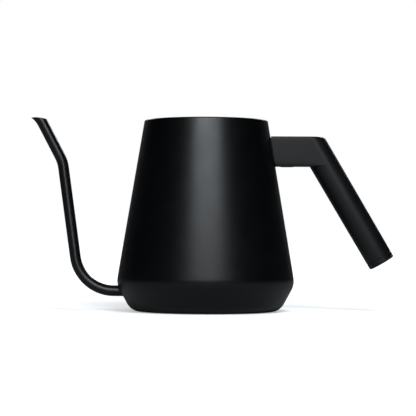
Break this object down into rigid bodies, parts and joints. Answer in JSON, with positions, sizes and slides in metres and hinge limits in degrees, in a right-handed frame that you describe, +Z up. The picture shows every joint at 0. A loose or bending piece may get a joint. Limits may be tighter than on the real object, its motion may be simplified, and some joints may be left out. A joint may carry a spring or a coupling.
{
  "type": "gooseneck kettle",
  "caption": "Stovetop pour-over kettle: conical steel body with a tucked-in bowl, slim gooseneck spout, slanted round grip on a flat arm, and a recessed lift-off lid.",
  "frame": {"origin": "centre of the base face, on the body's axis, in the plane that the kettle stands on", "axes": "+Z up along the body's axis, +X towards the handle, -X towards the spout; the XZ plane is the plane of symmetry"},
  "size_m": [0.2683, 0.1306, 0.144],
  "materials": {
    "powder_coat": "fine matte black powder coat",
    "bare_steel": "satin drawn stainless steel",
    "base_steel": "turned magnetic stainless steel",
    "spreader_aluminium": "as rolled",
    "grip_plastic": "fine moulded matte black",
    "plug_rubber": "matte",
    "silicone": "matte black silicone",
    "fastener_steel": "plain stainless steel",
    "insert_brass": "turned"
  },
  "bodies": {
    "kettle": {"body_wall": "powder_coat", "body_pan": "powder_coat", "lid_seat_collar": "bare_steel", "base_spreader": "spreader_aluminium", "base_cap": "base_steel", "spout_tube": "powder_coat", "spout_weld_bead": "powder_coat", "handle_bracket": "bare_steel", "handle_gasket": "silicone", "handle_grip": "grip_plastic", "handle_end_cap": "grip_plastic", "handle_screw": "fastener_steel", "handle_washer": "fastener_steel", "handle_screw_plug": "plug_rubber"},
    "lid": {"lid_cover": "powder_coat", "lid_skirt": "bare_steel", "lid_seal_ring": "silicone", "lid_knob": "grip_plastic", "lid_knob_insert": "insert_brass", "lid_knob_screw": "fastener_steel", "lid_knob_washer": "fastener_steel"}
  },
  "joints": [
    {"name": "lid_lift", "type": "slide", "parent": "kettle", "child": "lid", "axis": [0, 0, 1], "range_m": [0, 0.12]}
  ]
}
